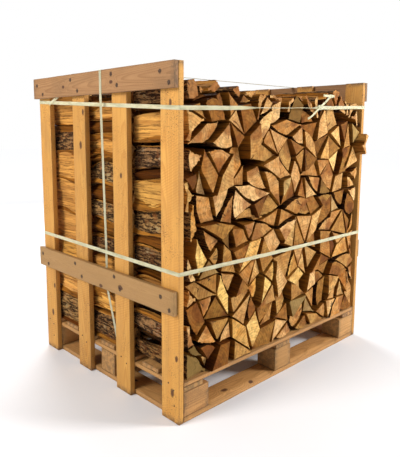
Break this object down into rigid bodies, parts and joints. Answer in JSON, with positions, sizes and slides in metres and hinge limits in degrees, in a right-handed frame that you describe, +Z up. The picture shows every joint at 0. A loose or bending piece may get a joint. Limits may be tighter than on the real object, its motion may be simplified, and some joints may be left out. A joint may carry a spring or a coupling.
{
  "type": "pallet of firewood",
  "caption": "Split firewood logs stacked in rows on a wooden block pallet between two slatted side walls, held by flat straps.",
  "frame": {"origin": "on the floor, under the middle of the pallet", "axes": "+Z up, X across the front where the log ends show, Y from the front to the back along the logs"},
  "size_m": [1.2918, 1.07, 1.3063],
  "materials": {
    "pallet_wood": "rough sawn, weathered brown",
    "upright_wood": "rough sawn, fresh yellow",
    "rail_wood": "rough sawn, pinkish tan",
    "split_wood": "split and sawn, with bark",
    "strap_plastic": "cream white plastic strap"
  },
  "bodies": {
    "root": {"base_board_front": "pallet_wood", "base_board_back": "pallet_wood", "base_board_left": "pallet_wood", "base_board_right": "pallet_wood", "base_board_middle": "pallet_wood", "block_front_left": "pallet_wood", "block_front_centre": "pallet_wood", "block_front_right": "pallet_wood", "block_middle_left": "pallet_wood", "block_middle_centre": "pallet_wood", "block_middle_right": "pallet_wood", "block_back_left": "pallet_wood", "block_back_centre": "pallet_wood", "block_back_right": "pallet_wood", "stringer_left": "pallet_wood", "stringer_centre": "pallet_wood", "stringer_right": "pallet_wood", "deck_board_1": "pallet_wood", "deck_board_2": "pallet_wood", "deck_board_3": "pallet_wood", "deck_board_4": "pallet_wood", "deck_board_5": "pallet_wood", "deck_board_6": "pallet_wood", "deck_board_7": "pallet_wood", "upright_left_1": "upright_wood", "upright_left_2": "upright_wood", "upright_left_3": "upright_wood", "upright_left_4": "upright_wood", "top_rail_left": "rail_wood", "middle_rail_left": "rail_wood", "upright_right_1": "upright_wood", "upright_right_2": "upright_wood", "upright_right_3": "upright_wood", "upright_right_4": "upright_wood", "top_rail_right": "rail_wood", "middle_rail_right": "rail_wood", "logs_front_1": "split_wood", "logs_front_2": "split_wood", "logs_front_3": "split_wood", "logs_front_4": "split_wood", "logs_front_5": "split_wood", "logs_front_6": "split_wood", "logs_middle_1": "split_wood", "logs_middle_2": "split_wood", "logs_middle_3": "split_wood", "logs_middle_4": "split_wood", "logs_middle_5": "split_wood", "logs_middle_6": "split_wood", "logs_back_1": "split_wood", "logs_back_2": "split_wood", "logs_back_3": "split_wood", "logs_back_4": "split_wood", "logs_back_5": "split_wood", "logs_back_6": "split_wood", "strap_upper": "strap_plastic", "strap_lower": "strap_plastic", "strap_cross": "strap_plastic", "log_slid_front": "split_wood", "log_slid_back": "split_wood"}
  },
  "joints": []
}
